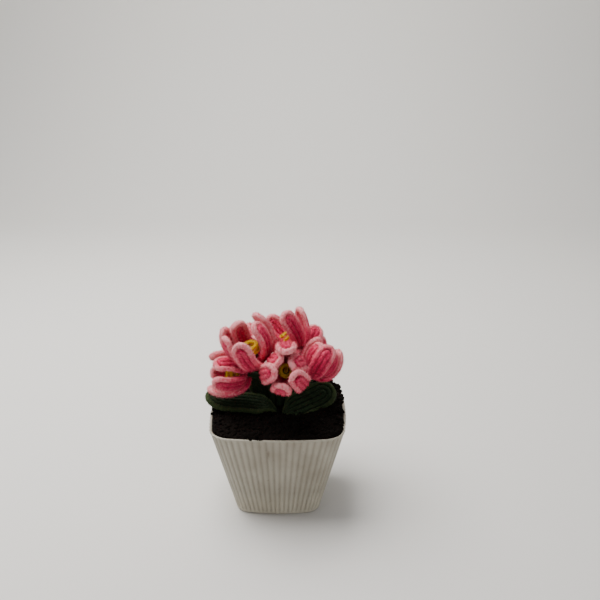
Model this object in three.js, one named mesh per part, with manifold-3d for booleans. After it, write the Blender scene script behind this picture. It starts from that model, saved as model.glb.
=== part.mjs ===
// A small pot of hand-made tulips: petals, stamens, stems and leaves are bent
// from fluffy chenille stems and stand in a fluted, tapered square pot of soil.
// Millimetres, +Z up. The origin is the centre of the pot's flat underside and
// -Y is the front, where one flower looks straight out of the bunch.
import * as THREE from 'three';
import { mergeVertices } from 'three/addons/utils/BufferGeometryUtils.js';
import Module from 'manifold-3d';

// ---------- driving dimensions ----------
const GAP = 0.3;                       // clearance kept where two pieces touch

const POT = {
  height: 73,
  top: { half: 50, corner: 17, bulge: 1.9 },    // rim outline, outside
  base: { half: 32, corner: 12, bulge: 1.9 },   // foot outline, outside
  wall: 1.6,
  floor: 2.5,
  ribsPerSide: 13,
  ribsPerCorner: 6,
  ribDepth: 1.0,
  rimBand: 1.2,                        // height of the rolled edge above the ribs
  rimProud: 0.4,
  rimScallop: 0.5,                     // the edge keeps a little of the ribs' waves
  rimEdge: 0.3,                        // softening of the rim's corners
  footChamfer: 0.8,
};

const SOIL = {
  points: 48,                          // points on one ring of its surface
  sunk: 0.6,                           // its edge lies this far below the rim
  heap: 3.0,
  lump: 1.1,
  rings: [0.94, 0.8, 0.6, 0.42, 0.24, 0.08],    // shares of the way out from the middle
};

// Six stems stand around a seventh, so the bunch leaves the soil as one sheaf.
const STEM = {
  radius: 2.1,
  depth: 20,                           // how far a stem reaches down into the soil
  sheaf: [1, 5],
  pitch: 5.6,
  spreadHeight: 12,                    // height over the rim up to which the sheaf holds together
  spread: 1.1,
  straight: 8,                         // length below the flower that follows the flower's axis
};

const PETAL = {
  width: 14,
  thickness: 3.2,
  rootWidth: 4.0,
  rootTurn: 7.5,                       // radius of the bend out of the stem
  layerStep: 3.9,                      // outer petals lie this far outside the inner ones
  swell: 0.45,                         // share of the length at which the petal is at its full width
  tip: 0.28,                           // share of the length that the rounded tip takes
  rings: [0, 0.13, 0.28, 0.45, 0.65, 0.82, 0.94, 1],
};

const STAMEN = { coil: 3.6, strand: 1.6, turns: 1.75, seat: 3.2, neck: 3.2, top: 15, points: 16 };

const LEAF = { thickness: 3.6, neck: 4.4, opens: [0.2, 0.42], tip: 0.28, rings: 14 };

const TIP_ROUNDING = 0.8;              // 0 ends a petal or leaf square, 1 in a point

// Each flower: where its petals meet the stem, the way it opens, the length of its
// petals, how far they lean out and how far their tips curl back in. `foot` is the
// direction in degrees of its stem's place in the sheaf. The petals are made in turn
// around the flower, starting beside `face`; `swing` turns single petals around the
// flower, `spread` opens them further and `trim` makes them shorter.
const FRONT = [0, -0.93, 0.37];
const UP = [0, 0, 1];
const FAN = {
  5: { first: 48, step: 66 },          // degrees; the gap looks towards `face`
  6: { first: 60, step: 60 },
};
const FLOWERS = [
  {
    name: 'left_upper', foot: 210, at: [-15.5, -18, 122.6], axis: [-0.33, -0.11, 0.94], face: FRONT,
    petals: 6, length: 36, lean: 50, curl: 96,
    swing: [0, 0, 22, -5, -7, -17], spread: [0, 0, 0, 10, 18, 22], trim: [0, 1, 1, 3, 0, 2],
  },
  {
    name: 'top', foot: null, at: [14.3, 16, 119.2], axis: [-0.67, 0.08, 0.74], face: FRONT,
    petals: 6, length: 37, lean: 48, curl: 46,
    swing: [-34, -8, 5, -15, -20, -37], spread: [0, -4, 0, 0, 0, 30], trim: [0, 9, 0, 0, 0, 11],
  },
  {
    name: 'front', foot: 270, at: [6.2, -20, 113.4], axis: [0.02, -0.9, 0.44], face: UP,
    petals: 6, length: 37, lean: 54, curl: 112,
    swing: [-10, -20, -14, -9, 0, 0], spread: [-1, -4, 12, -8, -6, 6], trim: [0, 0, 0, 0, 0, 0],
  },
  {
    name: 'left_low', foot: 150, at: [-25.5, -5, 103.8], axis: [-0.98, -0.18, 0.12], face: FRONT,
    petals: 5, length: 30, lean: 34, curl: 68,
    swing: [-2, -3, 0, 3, 4], spread: [0, 0, 0, 0, 0], trim: [0, 0, 0, 0, 0],
  },
  {
    name: 'right', foot: 330, at: [28, -4, 106.4], axis: [0.52, 0.27, 0.81], face: FRONT,
    petals: 6, length: 26, lean: 34, curl: 78,
    swing: [0, 0, 0, 0, 0, 0], spread: [-12, -12, -8, 0, 0, 0], trim: [0, 0, 0, 0, 0, 0],
  },
  {
    name: 'back_right', foot: 30, at: [18.5, 28, 102], axis: [0.3, 0.85, 0.42], face: FRONT,
    petals: 6, length: 30, lean: 40, curl: 72,
    swing: [0, 0, 0, 0, 0, 0], spread: [0, 0, 0, 0, 0, 0], trim: [0, 0, 0, 0, 0, 0],
  },
  {
    name: 'back_left', foot: 90, at: [-18.5, 27.5, 106], axis: [-0.45, 0.82, 0.35], face: FRONT,
    petals: 6, length: 32, lean: 42, curl: 74,
    swing: [0, 0, 0, 0, 0, 0], spread: [0, 0, 0, 0, 0, 0], trim: [0, 0, 0, 0, 0, 0],
  },
];

// Two broad leaves leave the soil in front of the stems and lie low over it; a
// third stands upright beside the stems. `across` is the way their width runs.
const LEAVES = [
  {
    name: 'leaf_left',
    spine: [[-2, -9, 60], [-2, -9, 74], [-7, -7.5, 78], [-20, -5, 80], [-42, -3, 81], [-56, -1, 86]],
    across: [0, 0.97, 0.25],
    width: 22,
  },
  {
    name: 'leaf_right',
    spine: [[5, -11.5, 60], [5, -11.5, 74], [10, -10.6, 78], [20, -5, 81], [33, 4, 83.5], [42, 11, 88]],
    across: [0, 0.78, 0.62],
    width: 23,
  },
  {
    name: 'leaf_back',
    spine: [[-12, 12, 60], [-12, 12, 73], [-14, 12, 83], [-18, 12, 95], [-22, 12, 107]],
    across: [-0.96, 0, -0.28],
    width: 17,
  },
];

// ---------- materials ----------
const finish = (color, roughness) => new THREE.MeshStandardMaterial({ color, roughness, metalness: 0 });
const potPlastic = () => finish(0xe9e6dc, 0.5);
const darkSoil = () => finish(0x241812, 1.0);
const greenChenille = () => finish(0x1f3a1c, 0.95);
const pinkChenille = () => finish(0xd8657c, 0.95);
const yellowChenille = () => finish(0xd9a514, 0.95);

const model = new THREE.Group();

function add(group, name, geometry, material) {
  const mesh = new THREE.Mesh(geometry, material);
  mesh.name = name;
  group.add(mesh);
  return mesh;
}

// ---------- solids by lofting ----------
// A closed solid from rings of equal point count, with a flat cap on each end.
function loft(rings) {
  const n = rings[0].length;
  const positions = rings.flat().flatMap((p) => [p.x, p.y, p.z]);
  const index = [];
  for (let k = 0; k + 1 < rings.length; k++) {
    for (let i = 0; i < n; i++) {
      const a = k * n + i;
      const b = k * n + ((i + 1) % n);
      index.push(a, b, a + n, b, b + n, a + n);
    }
  }
  const cap = (k, flip) => {
    const ring = rings[k];
    for (const [a, b, c] of capTriangles(ring)) {
      const tri = flip ? [a, c, b] : [a, b, c];
      index.push(...tri.map((v) => v + k * n));
    }
  };
  cap(0, true);
  cap(rings.length - 1, false);
  const geometry = new THREE.BufferGeometry();
  geometry.setAttribute('position', new THREE.Float32BufferAttribute(positions, 3));
  geometry.setIndex(volume(positions, index) < 0 ? index.reverse() : index);
  return geometry;
}

// Six times the enclosed volume, negative when the faces point inwards.
function volume(positions, index) {
  const corner = (i) => new THREE.Vector3().fromArray(positions, 3 * index[i]);
  let sum = 0;
  for (let i = 0; i < index.length; i += 3) {
    sum += corner(i).dot(corner(i + 1).cross(corner(i + 2)));
  }
  return sum;
}

// Triangles of one ring, found in the ring's own plane and wound with the ring.
function capTriangles(ring) {
  const normal = new THREE.Vector3();
  ring.forEach((p, i) => normal.add(p.clone().cross(ring[(i + 1) % ring.length])));
  normal.normalize();
  const side = ring[1].clone().sub(ring[0]);
  const u = side.addScaledVector(normal, -side.dot(normal)).normalize();
  const v = normal.clone().cross(u);
  const flat = ring.map((p) => new THREE.Vector2(p.dot(u), p.dot(v)));
  return THREE.ShapeUtils.triangulateShape(flat, []);
}

// ---------- manifold-3d joins and cuts ----------
const wasm = await Module();
wasm.setup();

function solid(geometry) {
  const bare = geometry.clone();
  bare.deleteAttribute('normal');
  bare.deleteAttribute('uv');
  const merged = mergeVertices(bare, 1e-4);
  return new wasm.Manifold(new wasm.Mesh({
    numProp: 3,
    vertProperties: new Float32Array(merged.attributes.position.array),
    triVerts: new Uint32Array(merged.index.array),
  }));
}

function geometryOf(body) {
  const mesh = body.getMesh();
  const geometry = new THREE.BufferGeometry();
  geometry.setAttribute('position', new THREE.BufferAttribute(mesh.vertProperties, 3));
  geometry.setIndex(new THREE.BufferAttribute(mesh.triVerts, 1));
  return geometry;
}

// ---------- pot ----------
// The pot's outline is a rounded square with bowed sides. `along` runs from 0
// to 1 once around it; each quarter has one side and one corner, divided so
// that the ribs keep their count from foot to rim.
const RIBS_PER_QUARTER = POT.ribsPerSide + POT.ribsPerCorner;
const SIDE_SHARE = POT.ribsPerSide / RIBS_PER_QUARTER;

function outlineAt(z, inset, along) {
  const t = z / POT.height;
  const mix = (key) => THREE.MathUtils.lerp(POT.base[key], POT.top[key], t);
  const half = mix('half') - inset;
  const corner = mix('corner') - inset;
  const straight = half - corner;
  const quarter = Math.floor(along * 4);
  const f = along * 4 - quarter;
  const point = new THREE.Vector2();
  if (f < SIDE_SHARE) {
    const s = -1 + 2 * f / SIDE_SHARE;
    point.set(half + mix('bulge') * (1 - s * s), s * straight);
  } else {
    const angle = (f - SIDE_SHARE) / (1 - SIDE_SHARE) * Math.PI / 2;
    point.set(straight + corner * Math.cos(angle), straight + corner * Math.sin(angle));
  }
  return point.rotateAround(new THREE.Vector2(), quarter * Math.PI / 2);
}

function outlineRing(z, inset, count) {
  return Array.from({ length: count }, (_, i) => {
    const p = outlineAt(z, inset(i), i / count);
    return new THREE.Vector3(p.x, p.y, z);
  });
}

function pot() {
  const count = 4 * RIBS_PER_QUARTER * 2;      // one crest and one valley a rib
  const plain = (inset) => () => inset;
  const waved = (crest, depth) => (i) => (i % 2 ? crest : crest + depth);
  const ribbed = waved(0, POT.ribDepth);
  const top = POT.height;
  const edge = POT.rimEdge;
  return loft([
    outlineRing(0, plain(POT.footChamfer + POT.ribDepth), count),
    outlineRing(POT.footChamfer, ribbed, count),
    outlineRing(top - 2 * POT.rimBand, ribbed, count),
    outlineRing(top - POT.rimBand, waved(-POT.rimProud, POT.rimScallop), count),
    outlineRing(top - edge, waved(-POT.rimProud, POT.rimScallop), count),
    outlineRing(top, waved(edge - POT.rimProud, POT.rimScallop), count),
    outlineRing(top, plain(POT.wall - edge), count),
    outlineRing(top - edge, plain(POT.wall), count),
    outlineRing(POT.floor, plain(POT.wall), count),
  ]);
}

// ---------- soil ----------
// Height of the soil over its own level: a low heap with lumps on it.
function soilHeight(x, y) {
  const lumps = Math.sin(x * 0.31 + 1) * Math.cos(y * 0.27) + Math.sin(x * 0.13 - y * 0.36);
  return SOIL.lump * lumps / 2;
}

function soilBody() {
  const inset = () => POT.wall + GAP;
  const rimLevel = POT.height - SOIL.sunk;
  const rings = [
    outlineRing(POT.floor + GAP, inset, SOIL.points),
    outlineRing(rimLevel, inset, SOIL.points),
  ];
  for (const share of SOIL.rings) {
    const rise = SOIL.heap * Math.min(1, 0.5 + 2 * (1 - share));
    rings.push(rings[1].map((p) => {
      const x = p.x * share;
      const y = p.y * share;
      return new THREE.Vector3(x, y, rimLevel + rise + soilHeight(x, y));
    }));
  }
  return solid(loft(rings));
}

// ---------- stems ----------
const STEM_SECTIONS = 16;
const STEM_SIDES = 8;

function tube(path, radius, steps, sides) {
  const shape = new THREE.Shape();
  shape.absarc(0, 0, radius, 0, Math.PI * 2);
  return new THREE.ExtrudeGeometry(shape, { curveSegments: sides / 2, steps, extrudePath: path });
}

function stemPath(flower, depth) {
  const foot = new THREE.Vector2(...STEM.sheaf);
  if (flower.foot !== null) {
    const angle = THREE.MathUtils.degToRad(flower.foot);
    foot.add(new THREE.Vector2(Math.cos(angle), Math.sin(angle)).multiplyScalar(STEM.pitch));
  }
  const upper = foot.clone().multiplyScalar(STEM.spread);
  const head = new THREE.Vector3(...flower.at);
  const axis = new THREE.Vector3(...flower.axis).normalize();
  return new THREE.CatmullRomCurve3([
    new THREE.Vector3(foot.x, foot.y, POT.height - depth),
    new THREE.Vector3(foot.x, foot.y, POT.height),
    new THREE.Vector3(upper.x, upper.y, POT.height + STEM.spreadHeight),
    head.clone().addScaledVector(axis, -STEM.straight),
    head.clone().addScaledVector(axis, -STEM.straight / 2),
    head.clone().addScaledVector(axis, STAMEN.seat),
  ], false, 'centripetal');
}

// ---------- petals ----------
// A petal lies on a bowl turned about the flower's axis. Its middle line leaves
// the stem flat, bends up around `rootTurn`, leans out by `lean` and curls back
// by `curl` towards the tip. Outer petals lie on a bowl one step further out.
function petalLine({ length, lean, curl, layer }) {
  const step = layer * PETAL.layerStep;
  const bend = PETAL.rootTurn + step;
  const upright = Math.PI / 2 - THREE.MathUtils.degToRad(lean);
  const bendLength = PETAL.rootTurn * upright;
  const tipTurn = (length - bendLength) / THREE.MathUtils.degToRad(curl) + step;
  const root = STEM.radius + GAP + 0.2;
  const centre = new THREE.Vector2(root, PETAL.rootTurn);
  return (s) => {
    if (s < bendLength) {
      const a = s / PETAL.rootTurn;
      return { r: centre.x + bend * Math.sin(a), z: centre.y - bend * Math.cos(a), heading: a };
    }
    const a = (s - bendLength) / (tipTurn - step);
    const start = { r: centre.x + bend * Math.sin(upright), z: centre.y - bend * Math.cos(upright) };
    const hub = { r: start.r - tipTurn * Math.sin(upright), z: start.z + tipTurn * Math.cos(upright) };
    const heading = upright + a;
    return { r: hub.r + tipTurn * Math.sin(heading), z: hub.z - tipTurn * Math.cos(heading), heading };
  };
}

// How much of its width a petal or leaf keeps at t, where the tip takes the last share.
function tipNarrowing(t, tip) {
  const intoTip = Math.max(0, (t - 1 + tip) / tip);
  return Math.sqrt(1 - TIP_ROUNDING * intoTip * intoTip);
}

// Half the petal's width along its length: a narrow root, a full middle and a round tip.
function petalHalfWidth(t) {
  const swell = Math.sin(Math.min(1, t / PETAL.swell) * Math.PI / 2);
  return THREE.MathUtils.lerp(PETAL.rootWidth, PETAL.width, swell) / 2 * tipNarrowing(t, PETAL.tip);
}

// The rounded section of a petal or leaf, in halves of its width and thickness.
const PAD = [[1, 0], [0.8, 0.85], [0, 1], [-0.8, 0.85], [-1, 0], [-0.8, -0.85], [0, -1], [0.8, -0.85]];
const THIN_TIP = 0.7;                  // thickness of the last ring

function petal(azimuth, shape) {
  const line = petalLine(shape);
  const rings = PETAL.rings.map((t) => {
    const { r, z, heading } = line(t * (shape.length - shape.trim));
    const half = petalHalfWidth(t);
    const thick = PETAL.thickness / 2 * (t === 1 ? THIN_TIP : 1);
    return PAD.map(([u, n]) => {
      const angle = azimuth + u * half / r;
      const radius = r + n * thick * Math.sin(heading);
      return new THREE.Vector3(radius * Math.cos(angle), radius * Math.sin(angle),
        z - n * thick * Math.cos(heading));
    });
  });
  return loft(rings);
}

function flowerHead(flower) {
  const head = new THREE.Group();
  head.position.set(...flower.at);
  const axis = new THREE.Vector3(...flower.axis).normalize();
  const face = new THREE.Vector3(...flower.face);
  face.addScaledVector(axis, -face.dot(axis)).normalize();
  const side = axis.clone().cross(face);
  head.quaternion.setFromRotationMatrix(new THREE.Matrix4().makeBasis(face, side, axis));
  const fan = FAN[flower.petals];
  for (let k = 0; k < flower.petals; k++) {
    const azimuth = THREE.MathUtils.degToRad(fan.first + k * fan.step + flower.swing[k]);
    const shape = {
      length: flower.length,
      trim: flower.trim[k],
      lean: flower.lean + flower.spread[k],
      curl: flower.curl,
      layer: k % 2,
    };
    add(head, `petal_${flower.name}_${k + 1}`, petal(azimuth, shape), pinkChenille());
  }
  const coil = tube(stamenPath(), STAMEN.strand, STAMEN_SECTIONS, STAMEN_SIDES);
  add(head, `stamen_${flower.name}`, coil, yellowChenille());
  return head;
}

const STAMEN_SECTIONS = 24;
const STAMEN_SIDES = 6;

// The stamen rises from the end of the stem and coils upwards like a spring.
function stamenPath() {
  const start = STAMEN.seat + GAP;
  const coil = Array.from({ length: STAMEN.points + 1 }, (_, i) => {
    const t = i / STAMEN.points;
    const angle = t * STAMEN.turns * Math.PI * 2;
    const z = THREE.MathUtils.lerp(start + STAMEN.neck, STAMEN.top - STAMEN.strand, t);
    return new THREE.Vector3(STAMEN.coil * Math.cos(angle), STAMEN.coil * Math.sin(angle), z);
  });
  const neck = [start, start + STAMEN.neck / 3].map((z) => new THREE.Vector3(0, 0, z));
  return new THREE.CatmullRomCurve3([...neck, ...coil]);
}

// ---------- leaves ----------
// One leaf, larger all round by `grow`: the soil is cut with a grown leaf.
function leaf({ spine, across, width }, grow) {
  const points = spine.map((p) => new THREE.Vector3(...p));
  points[0].z -= grow;
  const curve = new THREE.CatmullRomCurve3(points, false, 'centripetal');
  const side = new THREE.Vector3(...across).normalize();
  const rings = Array.from({ length: LEAF.rings + 1 }, (_, i) => {
    const t = i / LEAF.rings;
    const at = curve.getPointAt(t);
    const tangent = curve.getTangentAt(t);
    const normal = new THREE.Vector3().crossVectors(tangent, side).normalize();
    const sideways = new THREE.Vector3().crossVectors(normal, tangent);
    const open = THREE.MathUtils.smoothstep(t, ...LEAF.opens);
    const half = THREE.MathUtils.lerp(LEAF.neck, width, open) / 2 * tipNarrowing(t, LEAF.tip) + grow;
    return PAD.map(([u, n]) => at.clone()
      .addScaledVector(sideways, u * half)
      .addScaledVector(normal, -n * (LEAF.thickness / 2 + grow)));
  });
  return loft(rings);
}

// ---------- assembly ----------
add(model, 'pot', pot(), potPlastic());

let soil = soilBody();
for (const flower of FLOWERS) {
  const stem = tube(stemPath(flower, STEM.depth), STEM.radius, STEM_SECTIONS, STEM_SIDES);
  add(model, `stem_${flower.name}`, stem, greenChenille());
  const socket = tube(stemPath(flower, STEM.depth + GAP), STEM.radius + GAP, STEM_SECTIONS, STEM_SIDES);
  soil = soil.subtract(solid(socket));
  model.add(flowerHead(flower));
}
for (const row of LEAVES) {
  add(model, row.name, leaf(row, 0), greenChenille());
  soil = soil.subtract(solid(leaf(row, GAP)));
}
add(model, 'soil', geometryOf(soil), darkSoil());

export default model;
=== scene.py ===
# %% [markdown]
# # A pot of chenille tulips
#
# The object is a small craft pot: a white fluted plastic pot, dark crumbly soil, and a bunch
# of tulips bent from chenille stems. A chenille stem is a twisted wire with a dense
# pile of short fibres all round it, so a petal made from it is a soft, round, fuzzy loop.
#
# This notebook takes the plain CAD solids as a frame and lays the real surfaces on them:
# moulded plastic, loose earth, and several metres of fluffy strand.

import math
import bpy
import numpy as np
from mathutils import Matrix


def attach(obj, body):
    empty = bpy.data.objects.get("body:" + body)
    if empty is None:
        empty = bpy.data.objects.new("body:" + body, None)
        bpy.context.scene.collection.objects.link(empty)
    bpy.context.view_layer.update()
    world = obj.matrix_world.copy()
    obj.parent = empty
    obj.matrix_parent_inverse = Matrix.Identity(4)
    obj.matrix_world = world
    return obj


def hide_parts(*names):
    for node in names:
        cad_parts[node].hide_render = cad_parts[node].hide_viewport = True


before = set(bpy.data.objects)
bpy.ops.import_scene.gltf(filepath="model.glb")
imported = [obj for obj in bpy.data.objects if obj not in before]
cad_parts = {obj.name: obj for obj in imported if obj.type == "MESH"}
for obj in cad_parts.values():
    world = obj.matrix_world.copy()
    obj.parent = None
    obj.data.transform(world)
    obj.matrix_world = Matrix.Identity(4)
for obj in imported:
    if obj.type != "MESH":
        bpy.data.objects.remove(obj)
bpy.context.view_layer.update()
MM = 0.001
print("CAD pieces:", len(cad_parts))

# %% [markdown]
# ## The camera first
#
# A camera is easier to place at the start, because every later choice is judged through it.
# It stands in front of the pot and a little to its right, and looks down by about 19 degrees.
# Three directions and a place say how a camera or a lamp stands: right, up, back and where.
# Blender takes such a matrix as a list of its columns.

# %% Place the camera
CAMERA_AT = np.array([16.9, -561.3, 352.4]) * MM
LOOK_DOWN = math.radians(18.73)
HEADING = math.radians(-0.07)
ROLL = math.radians(0.3)
LENS, FILM_WIDTH = 48, 36        # millimetres


def standing(right, up, forward, at):
    """The matrix of something that stands at a place and looks forward."""
    matrix = np.eye(4)
    matrix[:3, :4] = np.stack([right, up, -forward, at], axis=1)
    return matrix.T.tolist()


def camera_stand():
    """Where the camera stands and how it is turned."""
    forward = np.array([math.sin(HEADING) * math.cos(LOOK_DOWN),
                        math.cos(HEADING) * math.cos(LOOK_DOWN), -math.sin(LOOK_DOWN)])
    level = np.cross(forward, [0, 0, 1])
    level /= np.linalg.norm(level)
    upright = np.cross(level, forward)
    right = level * math.cos(ROLL) + upright * math.sin(ROLL)
    up = upright * math.cos(ROLL) - level * math.sin(ROLL)
    return standing(right, up, forward, CAMERA_AT)


camera = bpy.data.objects.new("camera", bpy.data.cameras.new("camera"))
camera.data.lens = LENS
camera.data.sensor_width = FILM_WIDTH
camera.matrix_world = camera_stand()
bpy.context.scene.collection.objects.link(camera)
bpy.context.scene.camera = camera
print("camera at", CAMERA_AT.round(3))

# %% [markdown]
# ## Light
#
# One very large soft lamp hangs over the bunch, to its left and slightly behind it, as a bright
# window does, so the tops of the petals shine and the front of the pot lies in open shade. A weak
# lamp in front and a pale sky fill the shadows, and a third lamp brightens the wall behind. A
# square lamp's size sets how soft its shadows are: the larger the lamp, the softer the edge.

# %% Hang the lamps and the sky
MIDDLE_OF_BUNCH = (0, 0, 0.08)
FOOT_OF_WALL = (0, 1.3, 0.55)
NEARLY_UP = (0, 0.1, 1)          # leans a little, so that a lamp may also point straight down
SKY_COLOUR, SKY_STRENGTH = (0.93, 0.95, 1.0, 1), 0.3


def area_lamp(name, at, size, power, colour, target=MIDDLE_OF_BUNCH):
    """A square soft lamp at a place in metres, which points at the target."""
    lamp = bpy.data.lights.new(name, "AREA")
    lamp.size = size
    lamp.energy = power
    lamp.color = colour
    aim = np.array(target) - np.array(at)
    aim /= np.linalg.norm(aim)
    side = np.cross(aim, NEARLY_UP)
    side /= np.linalg.norm(side)
    holder = bpy.data.objects.new(name, lamp)
    holder.matrix_world = standing(side, np.cross(side, aim), aim, at)
    bpy.context.scene.collection.objects.link(holder)


area_lamp("window_lamp", (-0.35, 0.15, 0.95), size=0.8, power=19, colour=(1.0, 0.985, 0.96))
area_lamp("front_lamp", (0.45, -0.95, 0.45), size=0.8, power=1.9, colour=(1.0, 0.97, 0.94))
area_lamp("wall_lamp", (0, 0.55, 1.1), size=0.6, power=9, colour=(1.0, 1.0, 0.96), target=FOOT_OF_WALL)

sky = bpy.data.worlds.new("sky")
sky.use_nodes = True
sky.node_tree.nodes["Background"].inputs["Color"].default_value = SKY_COLOUR
sky.node_tree.nodes["Background"].inputs["Strength"].default_value = SKY_STRENGTH
bpy.context.scene.world = sky
print("lamps:", len(bpy.data.lights))

# %% [markdown]
# ## Floor
#
# The pot stands on a plain pale floor that bends up into a wall far behind it, so there is no
# line between the two. It is one strip of four-sided faces along a profile: straight, a
# quarter circle, straight. It lies a hair under the foot, so that the two never share a plane.

# %% Bend the floor
FLOOR_REACH = 3                  # metres from the pot to the floor's edges
SWEEP_FROM, SWEEP_RADIUS, SWEEP_POINTS = 0.9, 0.4, 17    # where the bend starts, in metres
FLOOR_DROP = 0.0003
FLOOR_PAINT, FLOOR_ROUGHNESS = (0.72, 0.70, 0.67), 0.7


def plain_material(name, colour, roughness):
    """A material with one Principled shader; returns it and the shader node."""
    material = bpy.data.materials.new(name)
    material.use_nodes = True
    shader = material.node_tree.nodes["Principled BSDF"]
    shader.inputs["Base Color"].default_value = (*colour, 1)
    shader.inputs["Roughness"].default_value = roughness
    return material, shader


bend = np.linspace(0, math.pi / 2, SWEEP_POINTS)
sweep = zip(SWEEP_FROM + SWEEP_RADIUS * np.sin(bend), SWEEP_RADIUS * (1 - np.cos(bend)))
profile = [(-FLOOR_REACH, 0), *sweep, (SWEEP_FROM + SWEEP_RADIUS, FLOOR_REACH)]
corners = [(x, float(y), float(z)) for y, z in profile for x in (-FLOOR_REACH, FLOOR_REACH)]
strips = [(2 * i, 2 * i + 1, 2 * i + 3, 2 * i + 2) for i in range(len(profile) - 1)]
floor_mesh = bpy.data.meshes.new("floor")
floor_mesh.from_pydata(corners, [], strips)
floor_mesh.polygons.foreach_set("use_smooth", np.ones(len(floor_mesh.polygons), bool))
floor_mesh.materials.append(plain_material("floor paint", FLOOR_PAINT, FLOOR_ROUGHNESS)[0])
floor = bpy.data.objects.new("floor", floor_mesh)
floor.location.z = -FLOOR_DROP
bpy.context.scene.collection.objects.link(floor)
print("floor faces:", len(strips))

# %% [markdown]
# ## From arrays to a piece
#
# Every surface here is made in code: numpy arrays of points and faces, handed to one helper.
# The helper also stores two things on the mesh. `pale` is a number per point that
# says how far out in the light a fibre lies, and the shader turns it into colour. The
# UV map unrolls the piece flat, so that its colours can later be kept as an image.

# %% A helper that turns arrays into a piece of the object
NEVER_ZERO = 1e-12


def normalised(v):
    """The same vectors with length one."""
    return v / np.maximum(np.linalg.norm(v, axis=-1, keepdims=True), NEVER_ZERO)


def make_piece(name, points_mm, faces, material, node, uv=None, pale=None):
    """One mesh object that replaces a CAD node. `faces` is a list of equal-width arrays."""
    mesh = bpy.data.meshes.new(name)
    mesh.from_pydata((points_mm * MM).tolist(), [], [f for part in faces for f in part.tolist()])
    mesh.polygons.foreach_set("use_smooth", np.ones(len(mesh.polygons), bool))
    if uv is not None:
        layer = mesh.uv_layers.new(name="OFBake")
        layer.uv.foreach_set("vector", np.concatenate([u.reshape(-1) for u in uv]).astype(np.float32))
    if pale is not None:
        store = mesh.attributes.new("pale", "FLOAT", "POINT")
        store.data.foreach_set("value", pale.astype(np.float32))
    mesh.materials.append(material)
    piece = bpy.data.objects.new(name, mesh)
    bpy.context.scene.collection.objects.link(piece)
    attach(piece, "root")
    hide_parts(node)
    return piece


# %% [markdown]
# ## The pot
#
# The pot is one thin moulding: a rounded square that narrows towards the foot and bows out a little
# on each side. It could be a scaled cube with bevels, but then the flutes would have to be cut
# one by one. Here one function gives any point of the outline at any height, and everything
# else, even the edge of the soil, is laid out with it.

# %% The pot's outline
POT_HEIGHT, POT_WALL, POT_FLOOR = 73, 1.6, 2.5       # millimetres, as all sizes from here on
# Half the width without the bow, the radius of the corners, and the bow of a side:
TOP = {"half": 50, "corner": 17, "bulge": 1.9}
BASE = {"half": 32, "corner": 12, "bulge": 1.9}
SIDE_RIBS, CORNER_RIBS = 13, 6


def outline_at(z, inset, along):
    """Points on the pot's outline at height z, moved in by `inset`; `along` runs 0 to 1 round it."""
    z, inset, along = np.broadcast_arrays(z, inset, along)
    size = {key: BASE[key] + (TOP[key] - BASE[key]) * (z / POT_HEIGHT) for key in TOP}
    half, corner = size["half"] - inset, size["corner"] - inset
    straight = half - corner
    quarter = np.floor(along * 4)
    part = along * 4 - quarter
    side_part = SIDE_RIBS / (SIDE_RIBS + CORNER_RIBS)
    on_side = part < side_part
    sideways = -1 + 2 * part / side_part
    angle = (part - side_part) / (1 - side_part) * math.pi / 2
    bowed = half + size["bulge"] * (1 - sideways * sideways)
    x = np.where(on_side, bowed, straight + corner * np.cos(angle))
    y = np.where(on_side, sideways * straight, straight + corner * np.sin(angle))
    turn = quarter * math.pi / 2
    return np.stack([x * np.cos(turn) - y * np.sin(turn), x * np.sin(turn) + y * np.cos(turn),
                     z + 0 * x], axis=-1)


print("rim from side to side:", np.ptp(outline_at(POT_HEIGHT, 0, np.arange(400) / 400)[:, 0]).round(1), "mm")

# %% [markdown]
# ### Flutes
#
# A zigzag would make the flutes look folded. On a moulded pot each rib is a half round with
# a sharp valley beside it, and the valleys end in small arches under the rim. One sine per
# rib gives the half round, and a quarter ellipse fades its depth out at the top.

# %% The depth of the flutes
RIBS, POINTS_PER_RIB = 4 * (SIDE_RIBS + CORNER_RIBS), 8
RIB_DEPTH = 1.0
BAND = 1.2                       # height of the plain band over the flutes
ARCH = 2.2                       # height of the arch that ends a flute
FLUTES_FROM, FLUTES_GROW = 0.5, 3.5      # they deepen from this height on, over this much

point_numbers = np.arange(RIBS * POINTS_PER_RIB)
around = point_numbers / len(point_numbers)
rib_phase = (point_numbers % POINTS_PER_RIB) / POINTS_PER_RIB
valley = 1 - np.abs(np.sin(rib_phase * math.pi))     # 0 on a rib's crest, 1 in the bottom beside it


def flute_depth(z):
    """How far each point of a ring lies behind the ribs' crests at height z."""
    under_arch = np.clip((POT_HEIGHT - BAND - z) / ARCH, 0, 1)
    over_foot = np.clip((z - FLUTES_FROM) / FLUTES_GROW, 0, 1)
    return RIB_DEPTH * valley * np.sqrt(1 - (1 - under_arch) ** 2) * over_foot


print("flutes:", RIBS, "of depth", flute_depth(POT_HEIGHT / 2).max().round(2), "mm")
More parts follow.
